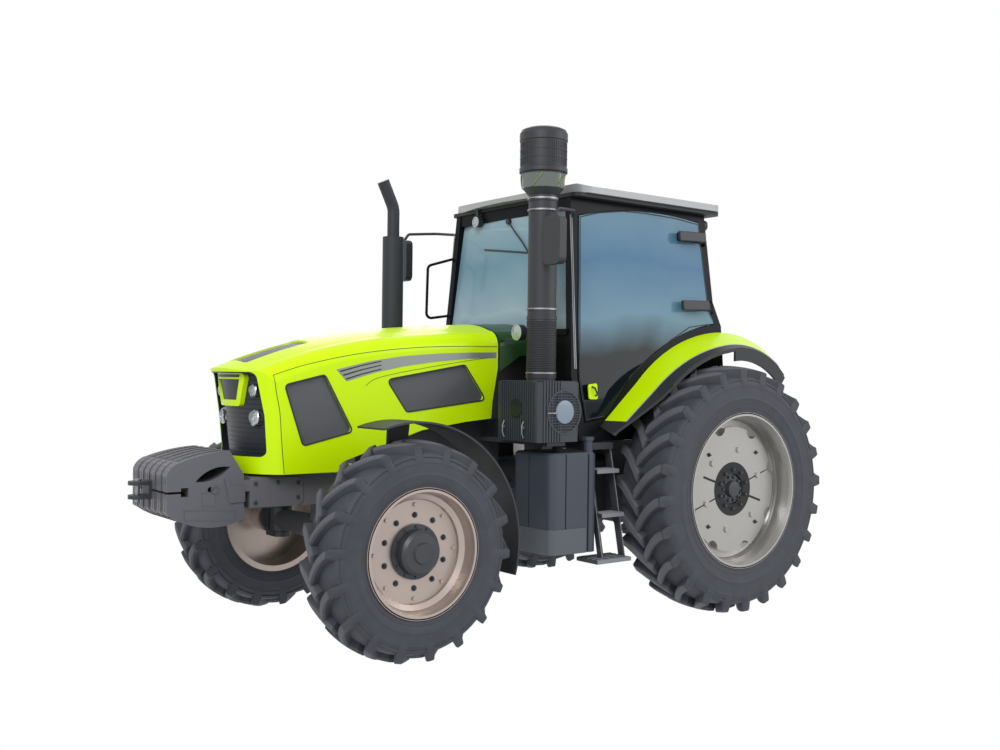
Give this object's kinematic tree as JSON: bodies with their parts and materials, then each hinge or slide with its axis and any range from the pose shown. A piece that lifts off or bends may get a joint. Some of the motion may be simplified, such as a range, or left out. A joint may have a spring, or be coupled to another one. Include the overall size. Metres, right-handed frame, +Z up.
{
  "type": "farm tractor",
  "caption": "Four-wheel farm tractor with a cab, ballasted nose, tall air intake, steered front wheels, opening bonnet and doors, and a rear three-point lift.",
  "frame": {"origin": "on the ground, under the centre of the overall box", "axes": "+X forward, +Y to the driver's left, +Z up"},
  "size_m": [5.367, 2.674, 3.46],
  "materials": {
    "tyre_rubber": "matt",
    "front_wheel_paint": "satin",
    "rear_wheel_paint": "satin",
    "chassis_paint": "satin",
    "weight_paint": "painted",
    "steel": "satin",
    "black_plastic": "matt",
    "lime_paint": "gloss",
    "dark_green_paint": "gloss",
    "cab_paint": "satin",
    "tinted_glass": "clear tinted",
    "roof_grey": "satin",
    "lamp_glass": "clear",
    "exhaust_paint": "matt",
    "seat_fabric": "woven"
  },
  "bodies": {
    "chassis": {"front_axle": "chassis_paint", "front_bracket": "chassis_paint", "front_weights": "weight_paint", "tow_clevis": "chassis_paint", "tow_pin": "steel", "engine_block": "chassis_paint", "transmission": "chassis_paint", "rear_axle": "chassis_paint", "cowl": "dark_green_paint", "cab_frame": "cab_paint", "cab_floor": "dark_green_paint", "cab_glass": "tinted_glass", "roof_liner": "black_plastic", "cab_roof": "roof_grey", "door_hinge_mounts": "cab_paint", "rear_fenders": "lime_paint", "fender_edges": "black_plastic", "chassis_brackets": "chassis_paint", "fuel_tank": "black_plastic", "battery_box": "black_plastic", "air_cleaner": "black_plastic", "intake_stack": "black_plastic", "precleaner": "black_plastic", "exhaust": "exhaust_paint", "steps": "chassis_paint", "seat_base": "black_plastic", "seat": "seat_fabric", "steering_console": "black_plastic", "mirrors": "black_plastic", "grab_rail": "cab_paint", "lamps": "lamp_glass", "drawbar": "chassis_paint", "link_brackets": "chassis_paint"},
    "bonnet": {"bonnet": "lime_paint", "side_vents": "black_plastic", "grille": "black_plastic", "headlamps": "lamp_glass"},
    "door_left": {"door_left": "cab_paint", "door_glass_left": "tinted_glass"},
    "door_right": {"door_right": "cab_paint", "door_glass_right": "tinted_glass"},
    "knuckle_left": {"knuckle_left": "chassis_paint", "front_fender_left": "black_plastic"},
    "knuckle_right": {"knuckle_right": "chassis_paint", "front_fender_right": "black_plastic"},
    "wheel_front_left": {"tyre_front_left": "tyre_rubber", "rim_front_left": "front_wheel_paint", "hub_front_left": "weight_paint"},
    "wheel_front_right": {"tyre_front_right": "tyre_rubber", "rim_front_right": "front_wheel_paint", "hub_front_right": "weight_paint"},
    "wheel_rear_left": {"tyre_rear_left": "tyre_rubber", "rim_rear_left": "rear_wheel_paint", "hub_rear_left": "weight_paint"},
    "wheel_rear_right": {"tyre_rear_right": "tyre_rubber", "rim_rear_right": "rear_wheel_paint", "hub_rear_right": "weight_paint"},
    "lower_links": {"lower_links": "chassis_paint"},
    "lift_arms": {"lift_arms": "chassis_paint"},
    "lift_rods": {"lift_rods": "chassis_paint"}
  },
  "joints": [
    {"name": "bonnet_hinge", "type": "hinge", "parent": "chassis", "child": "bonnet", "pos_m": [0.173, 0, 2.112], "axis": [0, -1, 0], "range_deg": [0, 50]},
    {"name": "door_left_hinge", "type": "hinge", "parent": "chassis", "child": "door_left", "pos_m": [-1.6262, 0.75444, 2.56944], "axis": [0.096, -0.0833, 0.9919], "range_deg": [0, 75]},
    {"name": "door_right_hinge", "type": "hinge", "parent": "chassis", "child": "door_right", "pos_m": [-1.6262, -0.75444, 2.56944], "axis": [-0.096, -0.0833, -0.9919], "range_deg": [0, 75]},
    {"name": "steer_left", "type": "hinge", "parent": "chassis", "child": "knuckle_left", "pos_m": [1.294, 0.75, 0.677], "axis": [0, 0, 1], "range_deg": [-36, 36]},
    {"name": "steer_right", "type": "hinge", "parent": "chassis", "child": "knuckle_right", "pos_m": [1.294, -0.75, 0.677], "axis": [0, 0, 1], "range_deg": [-36, 36]},
    {"name": "front_left_wheel", "type": "hinge", "parent": "knuckle_left", "child": "wheel_front_left", "pos_m": [1.294, 0.983, 0.677], "axis": [0, 1, 0], "continuous": true},
    {"name": "front_right_wheel", "type": "hinge", "parent": "knuckle_right", "child": "wheel_front_right", "pos_m": [1.294, -0.983, 0.677], "axis": [0, 1, 0], "continuous": true},
    {"name": "rear_left_wheel", "type": "hinge", "parent": "chassis", "child": "wheel_rear_left", "pos_m": [-1.42, 1.105, 0.921], "axis": [0, 1, 0], "continuous": true},
    {"name": "rear_right_wheel", "type": "hinge", "parent": "chassis", "child": "wheel_rear_right", "pos_m": [-1.42, -1.105, 0.921], "axis": [0, 1, 0], "continuous": true},
    {"name": "lower_link_pivot", "type": "hinge", "parent": "chassis", "child": "lower_links", "pos_m": [-1.67, 0, 0.52], "axis": [0, 1, 0], "range_deg": [-10, 25]},
    {"name": "lift_arm_pivot", "type": "hinge", "parent": "chassis", "child": "lift_arms", "pos_m": [-1.85, 0, 1.16], "axis": [0, 1, 0], "range_deg": [-17, 42]},
    {"name": "lift_rod_pivot", "type": "hinge", "parent": "lift_arms", "child": "lift_rods", "pos_m": [-2.18, 0, 1.2], "axis": [0, 1, 0], "range_deg": [-38, 15.5]}
  ],
  "couplings": [
    {"joint": "steer_right", "follows": "steer_left", "ratio": 1},
    {"joint": "lift_arm_pivot", "follows": "lower_link_pivot", "ratio": 1.6706},
    {"joint": "lift_rod_pivot", "follows": "lower_link_pivot", "ratio": -1.493}
  ]
}
